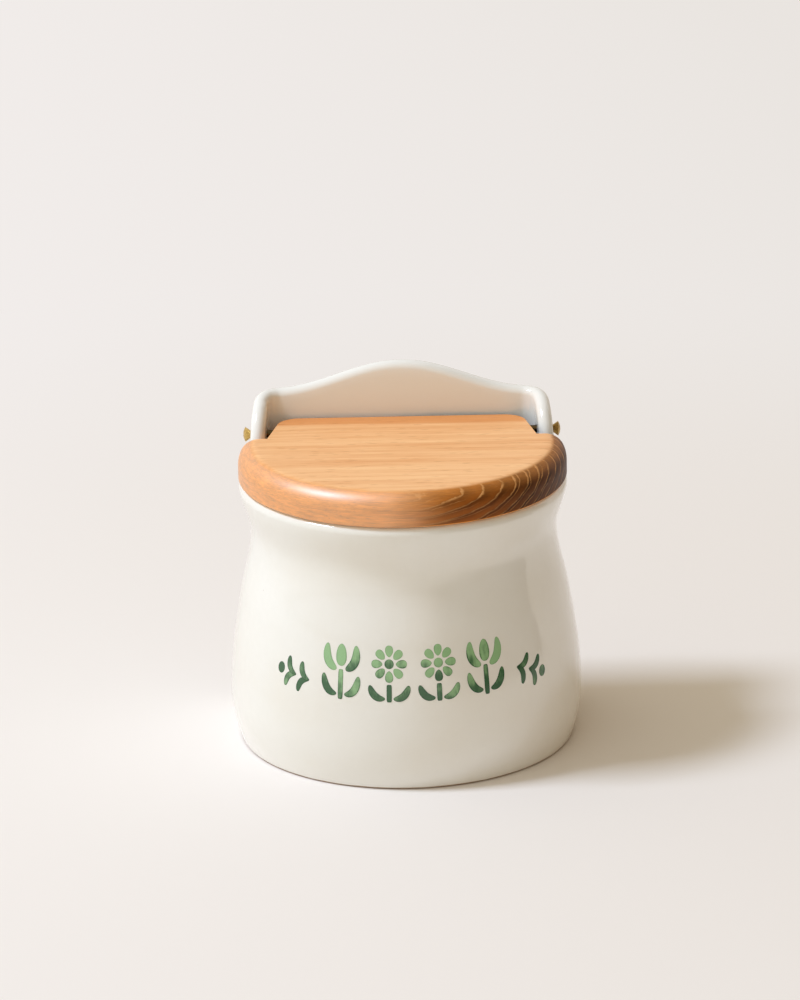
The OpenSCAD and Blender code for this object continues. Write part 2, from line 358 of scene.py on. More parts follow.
def paint_material(settings):
    """Brushed green underglaze: darker towards the foot of each motif and at its edges."""
    s = Shader("stencil_paint")
    place = s.millimetres()
    rim, height, tone = s.split(s.node("Attribute", {"attribute_name": "brush"}, output="Vector"))
    streaks = s.noise(place, (0.9, 0.9, 0.162), detail=4, roughness=0.65)
    cloud = s.noise(place, 0.16)
    load = 1.05 - height + (cloud - 0.5) * 1.2 + (streaks - 0.5) * 0.8 + (tone - 0.5) * 0.4
    wet = s.step(load, -0.05, 0.95)
    outline = s.step(rim + (streaks - 0.5) * 0.2, 0.66, 0.96)
    green = s.mix(s.step(wet * 0.85 + outline * 0.35, 0.0, 1.0), settings.light, settings.dark)
    grain = s.noise(place, 3.0, detail=3)
    return s.finish(
        Base_Color=s.tint(green, 0.86 + grain * 0.28), Roughness=0.2 + grain * 0.1,
        Normal=s.bump(grain, 0.02 * MM), Coat_Weight=0.6, Coat_Roughness=0.05, IOR=1.5)


def ring_pattern(s, place, settings):
    """Growth rings that lean across the board: the pale line that starts each ring, how pale the ring
    still is, and the noise that bends them."""
    y, z = s.split(place)[1:]
    slow = s.noise(place, (0.014, 0.04, 0.04))
    quick = s.noise(place, (0.07, 0.3, 0.3))
    jag = s.noise(place, (0.22, 0.22, 0.5), detail=3, roughness=0.6)
    lean = settings.ring_tilt
    depth = settings.bark / MM - (z * cos(lean) - y * sin(lean))
    depth = depth + (slow - 0.5) * 3.4 + (quick - 0.5) * 0.8 + (jag - 0.5) * 0.9
    turns = (depth.at_least(0.01) / (settings.ring_width / MM)) ** 0.8
    ring = turns.fraction()
    second_ring = (turns + 0.62 + (slow - 0.5) * 1.5).fraction()
    line = s.band(ring, 0.0, 0.035, 0.09, 0.20)
    second = s.band(second_ring, 0.0, 0.03, 0.06, 0.14) * s.step(slow, 0.40, 0.56) * 0.9
    line = line.at_least(second) * (0.35 + s.step(jag, 0.30, 0.62) * 0.65)
    return line, 1 - s.step(ring, 0.10, 0.85), quick


def wood_material(settings):
    """Oiled hardwood: a fine straight grain on the faces, and round the edge a warm and glossy left side,
    pale ring lines and painted shade, a dark brown that deepens towards the right front."""
    s = Shader("oiled_wood")
    place = s.millimetres()
    x, y = s.split(place)[:2]
    up = s.split(s.node("TexCoord", output="Normal"))[2]
    line, pale, quick = ring_pattern(s, place, settings)
    fibre = s.noise(place, (0.05, 2.0, 2.0), detail=4, roughness=0.7)
    strand = s.noise(place, (0.02, 0.75, 0.75), detail=3, roughness=0.6)
    broad = s.noise(place, (0.009, 0.11, 0.11), detail=3)

    rightward = x / ((x * x + y * y) ** 0.5).at_least(1)
    edge = 1 - s.step(up.size(), 0.90, 0.99)
    # Painted shade: this mask is the right side of the edge, away from the key lamp, where dark brown is
    # painted.
    heart = s.step(rightward + (quick - 0.5) * 0.12, -0.11, 0.40) ** 0.75
    underside = s.step(0 - up, 0.15, 0.60)
    shade = edge * heart * (1 - underside) * (1 - s.step(up, 0.35, 0.95) * 0.42)
    bright = edge * (1 - heart)

    # Painted shade: the face turns darker and warmer towards the back, where the crock's raised back shades
    # it.
    tongue = s.step(y + (broad - 0.5) * 9.0, 20.0, 27.0)
    tone = (fibre + strand + broad) * 0.55 - pale * 0.06 - tongue * 0.42
    wood = s.mix(s.step(tone, 0.36, 1.06), settings.warm, settings.light)

    flame = s.noise(place, (0.05, 0.16, 0.8), detail=3, roughness=0.55)
    dash = s.noise(place, (0.16, 0.45, 3.2), detail=3, roughness=0.7)
    wood = s.mix(edge * 0.92, wood, s.tint(settings.edge, flame * 0.95 + dash))

    # Painted shade: the brown deepens further to the right.
    shade_deepening = 1 - s.step(rightward, 0.42, 0.80) * 0.68
    shade_brown = s.tint(settings.dark, (0.6 + (fibre + strand) * 0.7 + (1 - pale) * 1.6) * shade_deepening)
    wood = s.mix(shade * (0.96 + pale * 0.04), wood, shade_brown)

    lines_on_right = 0.2 + s.step(up, 0.1, 0.6) * 0.45
    wood = s.mix(line * (0.05 + edge * (0.12 + heart * lines_on_right)), wood, settings.line)

    clusters = s.step(s.noise(place, (0.05, 0.5, 0.5), detail=3), 0.44, 0.58)
    pore = (1 - s.step(s.cells(place, (0.13, 1.1, 1.1)), 0.12, 0.34)) * clusters
    wood = s.mix(pore * (0.5 - shade * 0.46), wood, settings.pore)

    relief = fibre * 0.5 - pore * 0.9 + line * 0.2
    return s.finish(
        Base_Color=wood, Roughness=0.42 + fibre * 0.08 + pore * 0.1, Normal=s.bump(relief, 0.05 * MM),
        Coat_Weight=0.04 + bright ** 1.6 * 0.94, Coat_Roughness=0.45, Coat_IOR=2.25, IOR=1.25)


def brass_material(settings):
    """Brass that has dulled unevenly, with painted shade that darkens the right screw and the shank inside
    the ears, and fine turning marks.
    """
    s = Shader("worn_brass")
    place = s.millimetres()
    x = s.split(place)[0]
    cloud = s.noise(place, 0.7, detail=4, roughness=0.6)
    dull = s.step(cloud, 0.42, 0.72)
    # Painted shade: the right screw, on the side away from the key lamp, is mixed further towards the
    # tarnish colour.
    brass = s.mix(dull * 0.5 + s.step(x, 0, 10) * 0.45, settings.brass, settings.tarnish_and_shade)
    # Painted shade: the shank between the ears, in the dark gap beside the lid, is painted almost black.
    gap_shade = 1 - s.step(x.size(), 56.5, 58.5)
    brass = s.mix(gap_shade * 0.92, brass, settings.dull)
    lathe = s.noise(place, (9.0, 0.4, 0.4))
    return s.finish(
        Base_Color=brass, Metallic=1.0, Roughness=0.24 + dull * 0.22 + lathe * 0.06,
        Normal=s.bump(lathe * 0.6 + cloud * 0.4, 0.03 * MM))


def hermite(low, high, z):
    """The radius at z on a cubic between two stations, each (height, radius, slope)."""
    span = high[0] - low[0]
    t = (z - low[0]) / span
    rise = 3 * t ** 2 - 2 * t ** 3
    return ((1 - rise) * low[1] + (t ** 3 - 2 * t ** 2 + t) * span * low[2]
            + rise * high[1] + (t ** 3 - t ** 2) * span * high[2])


class CrockForm:
    """The crock's surface: a D-shaped plan, lofted up a curved wall, over a rolled edge and down inside."""

    FRONT, SIDE, CORNER, BACK = range(4)
    FRONT_COLUMNS, RIM_COLUMNS, TURN_COLUMNS, EAR_COLUMNS, HUMP_COLUMNS = 56, 6, 6, 40, 36
    OUTER_ROWS, RISE_ROWS, LIP_ROWS, INNER_ROWS, ROUND_ROWS, EASE_ROWS = 44, 12, 14, 26, 8, 4
    FOOT_SLOPE, FLANK_SLOPE, RIM_SLOPE = 0.30, -0.175, 0.12
    FLANK_SHARE, FLANK_IN_SHARE = 0.61, 0.49
    EAR_BLEND, RISE_DEEP, FOOT_EASE, TIGHT = 9 * MM, 5 * MM, 1 * MM, 0.8 * MM

    def __init__(self, size):
        self.size = size
        self.back = CROCK_HIGH.y
        self.lip = size.wall / 2
        self.lip_z = size.rim_height - self.lip
        self.split_z = self.lip_z - self.RISE_DEEP
        self.ear_top = size.rim_height + size.ear_rise
        flank_z = size.belly_height + self.FLANK_SHARE * (size.neck_height - size.belly_height)
        flank_r = size.belly - self.FLANK_IN_SHARE * (size.belly - size.neck)
        self.stations = [
            (0, size.foot, self.FOOT_SLOPE), (size.belly_height, size.belly, 0),
            (flank_z, flank_r, self.FLANK_SLOPE), (size.neck_height, size.neck, 0),
            (self.lip_z, size.rim, self.RIM_SLOPE), (self.lip_z + self.EAR_BLEND, size.ear_radius, 0)]
        corner = self.corner_at(size.ear_radius, size.corner, self.back)
        self.side_length = self.side_of(corner)
        self.corner_length = size.corner * (pi / 2 - size.taper)
        self.back_length = corner.x
        self.half_length = self.side_length + self.corner_length + self.back_length
        self.ear_start = (size.ear_front - size.ear_radius * sin(size.taper)) / cos(size.taper)
        self.hump_half = self.half_length - self.ear_start - size.ear_sweep - size.hump_flat

    def radius(self, z):
        """The wall's outer radius at a height."""
        for low, high in zip(self.stations, self.stations[1:]):
            if z < high[0]:
                return hermite(low, high, z)
        return self.stations[-1][1]

    def side_x(self, radius, y):
        """How far a straight side lies from the middle at y, where its round front has a radius."""
        return (radius - y * sin(self.size.taper)) / cos(self.size.taper)

    def corner_at(self, radius, corner, back):
        """The centre of a back corner's rounding."""
        taper = self.size.taper
        across = (radius - corner - (back - corner) * sin(taper)) / cos(taper)
        return Vector((across, back - corner))

    def side_of(self, corner):
        """The length of a straight side that ends at a corner's rounding."""
        return corner.y * cos(self.size.taper) - corner.x * sin(self.size.taper)

    def directions(self, place):
        """Unit vectors out of the wall and along it, at a place (part, share) of the right half."""
        part, share = place
        taper, square = self.size.taper, pi / 2
        facing = (share * (square + taper) - square, taper, taper + share * (square - taper), square)[part]
        out = Vector((cos(facing), sin(facing)))
        return out, Vector((-out.y, out.x))

    def plan(self, place, radius, inset):
        """The point at a place of the D-shaped outline, moved inwards by an inset."""
        part, share = place
        out, along = self.directions(place)
        round_r = max(self.size.corner - inset, self.TIGHT)
        corner = self.corner_at(radius - inset, round_r, self.back - inset)
        if part == self.FRONT:
            return (radius - inset) * out
        if part == self.SIDE:
            return (radius - inset) * out + share * self.side_of(corner) * along
        if part == self.CORNER:
            return corner + round_r * out
        return Vector((corner.x * (1 - share), self.back - inset))

    def place_at(self, distance):
        """The place at a distance along the ear's wall, from the end of the round front."""
        if distance < self.side_length:
            return self.SIDE, distance / self.side_length
        distance -= self.side_length
        if distance < self.corner_length:
            return self.CORNER, distance / self.corner_length
        return self.BACK, min(1, (distance - self.corner_length) / self.back_length)

    def edge_column(self, distance, height, lean):
        """A column whose top edge passes a point and leans by an angle, 0 where it is level."""
        place = self.place_at(distance + self.lip * sin(lean))
        return place, height - self.lip * cos(lean), lean

    def half_columns(self):
        """Columns of the right half: round front, rim, hollow turn, the ear's front and the hump."""
        size, square = self.size, pi / 2
        ear, fillet, sweep, rim_z = self.ear_start, size.ear_fillet, size.ear_sweep, size.rim_height
        climb = size.ear_rise - fillet
        columns = [((self.FRONT, i / self.FRONT_COLUMNS), self.lip_z, 0) for i in range(self.FRONT_COLUMNS)]
        for i in range(self.RIM_COLUMNS):
            columns.append(self.edge_column(i * (ear - fillet) / self.RIM_COLUMNS, rim_z, 0))
        for i in range(self.TURN_COLUMNS):
            a = square * i / self.TURN_COLUMNS
            columns.append(self.edge_column(
                ear - fillet * (1 - sin(a)), rim_z + fillet * (1 - cos(a)), a))
        for i in range(self.EAR_COLUMNS):
            a = square * i / self.EAR_COLUMNS
            columns.append(self.edge_column(
                ear + sweep * (1 - cos(a)), rim_z + fillet + climb * sin(a),
                atan2(climb * cos(a), sweep * sin(a))))
        for i in range(self.HUMP_COLUMNS + 1):
            t = i / self.HUMP_COLUMNS
            slope = size.hump_rise / 2 * sin(pi * t) * pi / self.hump_half
            columns.append(self.edge_column(
                self.half_length - self.hump_half * (1 - t),
                self.ear_top + size.hump_rise / 2 * (1 - cos(pi * t)), atan(slope)))
        return columns

    def wall_point(self, column, z, inset):
        """A point of the wall at a height, outside or moved inwards by an inset."""
        flat = self.plan(column[0], self.radius(z), inset)
        return Vector((flat.x, flat.y, z))

    def lip_point(self, column, turn):
        """A point of the rolled edge, from outside at turn 0 to inside at half a turn."""
        place, z, lean = column
        along = self.directions(place)[1]
        flat = self.plan(place, self.radius(z), self.lip * (1 - cos(turn)))
        flat = flat - self.lip * sin(turn) * sin(lean) * along
        return Vector((flat.x, flat.y, z + self.lip * sin(turn) * cos(lean)))

    def column_points(self, column):
        """One column, from the middle of the underside, over the lip, to the middle of the floor."""
        size, square = self.size, pi / 2
        lift, ring, ease = size.foot_lift, size.foot_ring, self.FOOT_EASE
        under = self.wall_point(column, 0, ring + ease + lift)
        points = [Vector((under.x * share, under.y * share, lift)) for share in (0, 0.35, 0.7, 1)]
        points += [self.wall_point(column, 0, inset) for inset in (ring + ease, 3 * ease)]
        for i in range(self.EASE_ROWS + 1):
            a = square * i / self.EASE_ROWS
            points.append(self.wall_point(column, ease * (1 - cos(a)), ease * (1 - sin(a))))
        for i in range(1, self.OUTER_ROWS + 1):
            z = ease + (self.split_z - ease) * i / self.OUTER_ROWS
            points.append(self.wall_point(column, z, 0))
        height = column[1] - self.split_z
        rise = [self.split_z + height * i / self.RISE_ROWS for i in range(1, self.RISE_ROWS)]
        points += [self.wall_point(column, z, 0) for z in rise]
        points += [self.lip_point(column, pi * i / self.LIP_ROWS) for i in range(self.LIP_ROWS + 1)]
        points += [self.wall_point(column, z, size.wall) for z in reversed(rise)]
        inner_foot = size.floor + size.floor_round
        for i in range(self.INNER_ROWS + 1):
            z = self.split_z + (inner_foot - self.split_z) * i / self.INNER_ROWS
            points.append(self.wall_point(column, z, size.wall))
        for i in range(1, self.ROUND_ROWS + 1):
            a = square * i / self.ROUND_ROWS
            inset = size.wall + size.floor_round * (1 - cos(a))
            points.append(self.wall_point(column, inner_foot - size.floor_round * sin(a), inset))
        last = points[-1]
        points += [Vector((last.x * share, last.y * share, last.z)) for share in (0.7, 0.35, 0)]
        return points

    def columns(self):
        """All columns in order round the crock, the left half mirrored from the right."""
        right = [self.column_points(column) for column in self.half_columns()]
        left = [[Vector((-p.x, p.y, p.z)) for p in points] for points in reversed(right[1:-1])]
        return right + left


def tidy_selection():
    """Leaves edit mode and selects nothing."""
    if bpy.context.object and bpy.context.object.mode == "EDIT":
        mode("OBJECT")
    bpy.ops.object.select_all(action="DESELECT")


def work_on(obj):
    """Makes one object the selected and active one."""
    tidy_selection()
    obj.select_set(True)
    bpy.context.view_layer.objects.active = obj


def added(name):
    """Names the object that an operator has just added."""
    obj = bpy.context.object
    obj.name = name
    obj.data.name = name
    return obj


def sheet(name, across, along, place):
    """A grid primitive whose vertices, at shares (u, v) of its sides, are moved to place(u, v)."""
    tidy_selection()
    bpy.ops.mesh.primitive_grid_add(x_subdivisions=across, y_subdivisions=along, size=1)
    obj = added(name)
    for vertex in obj.data.vertices:
        vertex.co = place(vertex.co.x + 0.5, vertex.co.y + 0.5)
    return obj


def mode(name):
    bpy.ops.object.mode_set(mode=name)


def edit_all(obj):
    """Enters edit mode with all of an object selected."""
    work_on(obj)
    mode("EDIT")
    bpy.ops.mesh.select_all(action="SELECT")


def close_up(obj, distance=0.001 * MM):
    """Merges doubles and turns the faces outwards."""
    edit_all(obj)
    bpy.ops.mesh.remove_doubles(threshold=distance)
    bpy.ops.mesh.normals_make_consistent(inside=False)
    mode("OBJECT")


def select_where(obj, kind, wanted):
    """In edit mode, selects the vertices or edges that pass a test."""
    bpy.ops.mesh.select_mode(type=kind)
    bpy.ops.mesh.select_all(action="DESELECT")
    mode("OBJECT")
    elements = [e for e in {"VERT": obj.data.vertices, "EDGE": obj.data.edges}[kind] if wanted(e)]
    if not elements:
        raise RuntimeError(f"{obj.name}: nothing to select")
    for element in elements:
        element.select = True
    mode("EDIT")


def apply_modifier(obj, kind, **settings):
    """Adds a modifier, sets it up and applies it."""
    work_on(obj)
    modifier = obj.modifiers.new(kind.title(), kind)
    for key, value in settings.items():
        setattr(modifier, key, value)
    bpy.ops.object.modifier_apply(modifier=modifier.name)


def cut_with(obj, *cutters):
    """Takes cutters away from an object and removes them."""
    for cutter in cutters:
        apply_modifier(obj, "BOOLEAN", operation="DIFFERENCE", solver="EXACT", object=cutter)
        bpy.data.objects.remove(cutter)


def turned(name, radius, height, rings):
    """A closed body turned about Z: a circle that is extruded from ring to ring, each (radius, height)."""
    tidy_selection()
    bpy.ops.mesh.primitive_circle_add(
        vertices=ROUND_VERTICES, radius=radius, fill_type="NGON", location=(0, 0, height))
    obj = added(name)
    bpy.ops.object.transform_apply(location=True)
    edit_all(obj)
    for next_radius, next_height in rings:
        bpy.ops.mesh.extrude_region_move(TRANSFORM_OT_translate={"value": (0, 0, next_height - height)})
        scale = next_radius / radius
        bpy.ops.transform.resize(value=(scale, scale, 1), center_override=(0, 0, next_height))
        radius, height = next_radius, next_height
    mode("OBJECT")
    close_up(obj)
    return obj


def onto_hinge(obj, side):
    """Turns a piece made along +Z to point out of the crock's side, on the hinge axis."""
    work_on(obj)
    turn = Matrix.Rotation(side * pi / 2, 4, "Y")
    obj.matrix_world = Matrix.Translation((0, HINGE.y, HINGE.z)) @ turn
    bpy.ops.object.transform_apply(location=True, rotation=True, scale=True)


def smooth(obj, degrees):
    """Shades smooth, but for the edges that are sharper than an angle."""
    work_on(obj)
    bpy.ops.object.shade_smooth_by_angle(angle=radians(degrees))


def dress(obj, material, body, slot, *nodes):
    """Gives a finished piece its material and its body, and hides the nodes that it stands for. The slot is
    not used.
    """
    obj.data.materials.clear()
    obj.data.materials.append(material)
    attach(obj, body)
    if nodes:
        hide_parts(*nodes)


class SALTBOX_OT_crock(bpy.types.Operator):
    """Lofts the glazed crock from one wrapped grid and drills the ears"""

    bl_idname = "saltbox.crock"
    bl_label = "Crock"

    BROAD_WAVES, SMALL_WAVES = 22, 75
    MOUTH_STEPS = 5

    def execute(self, context):
        size = context.scene.salt_box_crock
        form = CrockForm(size)
        columns = form.columns()
        across, along = len(columns), len(columns[0]) - 1
        crock = sheet("glazed_crock", across, along,
                      lambda u, v: columns[round(u * across) % across][round(v * along)])
        close_up(crock)
        self.unevenness(crock, size)
        for side in (-1, 1):
            cut_with(crock, self.hole_cutter(size, form.side_x(size.ear_radius, HINGE.y), side))
        smooth(crock, 50)
        dress(crock, glaze_material(size), "crock", "glaze", "crock")
        return {"FINISHED"}

    def unevenness(self, crock, size):
        """Moves the wall in and out a little, as by hand, but not where it stands, and leans the crest."""
        vertices = crock.data.vertices
        normals = [vertex.normal.copy() for vertex in vertices]
        for vertex, normal in zip(vertices, normals):
            broad = noise.noise(vertex.co * self.BROAD_WAVES)
            small = noise.noise(vertex.co * self.SMALL_WAVES + Vector((7, 3, 5)))
            grounded = min(1, max(0, (vertex.co.z - 2 * MM) / (10 * MM)))
            vertex.co += normal * size.waviness * grounded * (0.8 * broad + 0.2 * small)
            raised = min(1, max(0, (vertex.co.z - size.rim_height) / size.ear_rise))
            vertex.co.z -= size.crest_lean * raised * vertex.co.x / size.ear_radius

    def hole_cutter(self, size, outside, side):
        """A drill with flared ends, so that the hole's two mouths are rounded."""
        reach, ease, inside = size.hole / 2, size.hole_ease, outside - size.wall
        turns = [pi / 2 * i / self.MOUTH_STEPS for i in range(self.MOUTH_STEPS + 1)]
        rings = [(reach + ease * (1 - sin(a)), inside + ease * (1 - cos(a))) for a in turns]
        rings += [(reach + ease * (1 - cos(a)), outside - ease * (1 - sin(a))) for a in turns]
        rings.append((reach + ease, outside + 2 * ease))
        cutter = turned("drill", reach + ease, inside - 2 * ease, rings)
        onto_hinge(cutter, side)
        return cutter


class SALTBOX_OT_stencil(bpy.types.Operator):
    """Paints the row of stencilled flowers and the sprig at each end of it"""

    bl_idname = "saltbox.stencil"
    bl_label = "Stencilled band"

    ACROSS, ALONG = 8, 22
    FOOT, TALL = -11, 22
    SPRIGS = (((-41.6 * MM, 42.9 * MM), -1, 8.5), ((48.3 * MM, 45.2 * MM), 1, -20))

    def execute(self, context):
        crock = context.scene.salt_box_crock
        settings = context.scene.salt_box_stencil
        self.form = CrockForm(crock)
        self.proud = settings.proud
        self.strokes = []
        flowers = (self.tulip, self.daisy, self.daisy, self.tulip)
        for i, flower in enumerate(flowers):
            across = (i - (len(flowers) - 1) / 2) * settings.pitch
            flower((settings.shift + across, settings.height))
        for tip, side, tilt in self.SPRIGS:
            self.sprig(tip, side, radians(tilt))
        work_on(self.strokes[0])
        for stroke in self.strokes:
            stroke.select_set(True)
        bpy.ops.object.join()
        band = added("stencil_band")
        apply_modifier(band, "SOLIDIFY", thickness=4 * self.proud, offset=-1)
        smooth(band, 40)
        dress(band, paint_material(settings), "crock", "glaze")
        return {"FINISHED"}

    def tulip(self, centre):
        """A bud between two side petals, over a stem with two leaves."""
        self.stroke(centre, ((0, 2.2), (0, 6), (0, 10.9)), 4.6, 2, 0.9)
        for side in (-1, 1):
            self.stroke(centre, ((side * 2.0, 0.9), (side * 7.6, 2.6), (side * 6.2, 10.6)), 3.7, 2.2, 0.95)
            self.stroke(centre, ((side * 1.7, -8.9), (side * 6.9, -9.2), (side * 7.5, -1.4)), 3.2, 2.2, 1.1)
        self.stroke(centre, ((0, self.FOOT), (0, -5), (0, 0.9)), 2.1, 6, 1)

    def daisy(self, centre):
        """Eight petals round a heart, over a short stem with two leaves."""
        petals, heart, near, far = 8, 4.1, 2.75, 7.3
        for i in range(petals):
            a = 2 * pi * i / petals
            start, end = [(r * sin(a), heart + r * cos(a)) for r in (near, far)]
            middle = ((start[0] + end[0]) / 2, (start[1] + end[1]) / 2)
            self.stroke(centre, (start, middle, end), 3.3, 2.2, 1.35)
        self.stroke(centre, ((0, heart - 1.9), (0, heart), (0, heart + 1.9)), 3.8, 2, 1)
        self.stroke(centre, ((0, self.FOOT), (0, -7), (0, -4.0)), 2.1, 6, 1)
        for side in (-1, 1):
            leaf = ((side * 1.7, -9.6), (side * 6.6, -10.2), (side * 7.9, -4.4))
            self.stroke(centre, leaf, 3.0, 2.2, 1.1)

    def sprig(self, tip, side, tilt):
        """Two pairs of curved leaves that point at the row, and a bud behind them."""
        pitch, bud = 6.7, 14.9

        def turn(u, w):
            u, w = u * cos(tilt) - w * sin(tilt), u * sin(tilt) + w * cos(tilt)
            return side * u, w

        for i in range(2):
            for arm in (-1, 1):
                path = [turn(i * pitch + u, arm * w) for u, w in ((0, 0), (5.0, 0.4), (4.5, 6.2))]
                self.stroke(tip, path, 2.6, 2.4, 1.25, rise=-0.1)
        self.stroke(tip, [turn(bud, w) for w in (-2.3, 0, 2.3)], 3.6, 2, 1, rise=-0.1)

    def stroke(self, centre, path, width, blunt, skew, rise=None):
        """One opening of the stencil: a ribbon along a curve, in millimetres from a centre on the wall.
        Blunt 2 gives an ellipse and more a bar. A skew over 1 puts the widest part past the middle. The
        paint is darker where rise is lower, which is the height in the motif if it isn't given."""
        start, bend, end = [Vector(p) for p in path]
        heights, shares = [], []

        def place(u, v):
            t = (1 - cos(pi * v)) / 2
            point = (1 - t) ** 2 * start + 2 * t * (1 - t) * bend + t ** 2 * end
            run = 2 * (1 - t) * (bend - start) + 2 * t * (end - bend)
            across = Vector((run.y, -run.x)).normalized()
            half = width / 2 * (1 - abs(2 * t ** skew - 1) ** blunt) ** (1 / blunt)
            flat = point + across * half * (2 * u - 1)
            heights.append(rise if rise is not None else (flat.y - self.FOOT) / self.TALL)
            shares.append(max(abs(2 * u - 1), abs(2 * v - 1)))
            return self.on_wall(centre[0] + flat.x * MM, centre[1] + flat.y * MM)

        obj = sheet(f"stroke_{len(self.strokes)}", self.ACROSS, self.ALONG, place)
        brush = obj.data.attributes.new("brush", "FLOAT_VECTOR", "POINT")
        tone = noise.cell(Vector((len(self.strokes) * 1.7, 0.3, 0.9)))
        for item, height, share in zip(brush.data, heights, shares):
            item.vector = (share, height, tone)
        close_up(obj, 0.02 * MM)
        self.strokes.append(obj)

    def on_wall(self, distance, z):
        """The point of the round front at a distance round it, a little proud of the glaze."""
        turn = distance / self.form.size.belly
        radius = self.form.radius(z)
        slope = (self.form.radius(z + MM) - self.form.radius(z - MM)) / (2 * MM)
        out = Vector((sin(turn), -cos(turn), -slope)).normalized()
        return Vector((radius * sin(turn), -radius * cos(turn), z)) + out * self.proud


class SALTBOX_OT_lid(bpy.types.Operator):
    """Cuts the board to its outline, rounds its edge over and drills it for the screws"""

    bl_idname = "saltbox.lid"
    bl_label = "Lid"

    ARC_VERTICES = 240
    NEAR, LEVEL = 0.05 * MM, 0.01 * MM

    def execute(self, context):
        size = context.scene.salt_box_lid
        crock = context.scene.salt_box_crock
        inside = CrockForm(crock).side_x(crock.ear_radius - crock.wall, size.shoulder)
        board = self.board(size, inside - size.tongue_gap)
        self.ease_edges(board, size)
        for side in (-1, 1):
            drill = turned("pilot", size.hole / 2, SCREW_LOW.x - MM, [(size.hole / 2, SCREW_HIGH.x)])
            onto_hinge(drill, side)
            cut_with(board, drill)
        apply_modifier(board, "TRIANGULATE", min_vertices=5)
        smooth(board, 35)
        apply_modifier(board, "WEIGHTED_NORMAL", keep_sharp=True)
        dress(board, wood_material(size), "lid", "wood", "lid")
        return {"FINISHED"}

    def board(self, size, tongue):
        """The outline, filled and extruded up by the lid's thickness. The tongue is a half width."""
        tidy_selection()
        radius, bottom = LID_HIGH.x, LID_LOW.z
        bpy.ops.mesh.primitive_circle_add(
            vertices=self.ARC_VERTICES, radius=radius, location=(0, 0, bottom))
        board = added("wooden_lid")
        bpy.ops.object.transform_apply(location=True)
        edit_all(board)
        bpy.ops.mesh.bisect(plane_co=(0, size.shoulder, 0), plane_no=(0, 1, 0), clear_outer=True)
        back = LID_HIGH.y
        back_half = tongue - (back - size.shoulder) * tan(size.taper)
        reach = sqrt(radius ** 2 - size.shoulder ** 2)
        for side in (-1, 1):
            here = Vector((side * reach, size.shoulder, bottom))
            select_where(board, "VERT", lambda v: (v.co - here).length < self.NEAR)
            for x, y in ((tongue, size.shoulder), (back_half, back)):
                there = Vector((side * x, y, bottom))
                bpy.ops.mesh.extrude_vertices_move(TRANSFORM_OT_translate={"value": there - here})
                here = there
        select_where(board, "VERT", lambda v: abs(v.co.y - back) < self.LEVEL)
        bpy.ops.mesh.edge_face_add()
        select_where(board, "VERT", lambda v: abs(v.co.y - back) < self.LEVEL)
        bpy.ops.mesh.bevel(offset=size.tongue_round, segments=12, affect="VERTICES", offset_type="OFFSET")
        bpy.ops.mesh.select_all(action="SELECT")
        bpy.ops.mesh.edge_face_add()
        bpy.ops.mesh.select_all(action="SELECT")
        bpy.ops.mesh.extrude_region_move(TRANSFORM_OT_translate={"value": (0, 0, LID_HIGH.z - bottom)})
        mode("OBJECT")
        close_up(board)
        return board

    def ease_edges(self, board, size):
        """Rounds the top of the round edge over, eases its lower side and softens every other edge."""
        edit_all(board)
        vertices = board.data.vertices
        radius = LID_HIGH.x

        def on_rim(z):
            def wanted(edge):
                return all(abs(end.z - z) < self.LEVEL and abs(end.xy.length - radius) < self.NEAR
                           for end in (vertices[i].co for i in edge.vertices))
            return wanted

        select_where(board, "EDGE", on_rim(LID_HIGH.z))
        bpy.ops.mesh.bevel(offset=size.round_over, segments=18, profile=0.5, affect="EDGES")
        select_where(board, "EDGE", on_rim(LID_LOW.z))
        bpy.ops.mesh.bevel(offset=size.ease, segments=5, profile=0.5, affect="EDGES")
        mode("OBJECT")
        apply_modifier(board, "BEVEL", width=size.crisp, segments=3, limit_method="ANGLE",
                       angle_limit=radians(38), harden_normals=False)


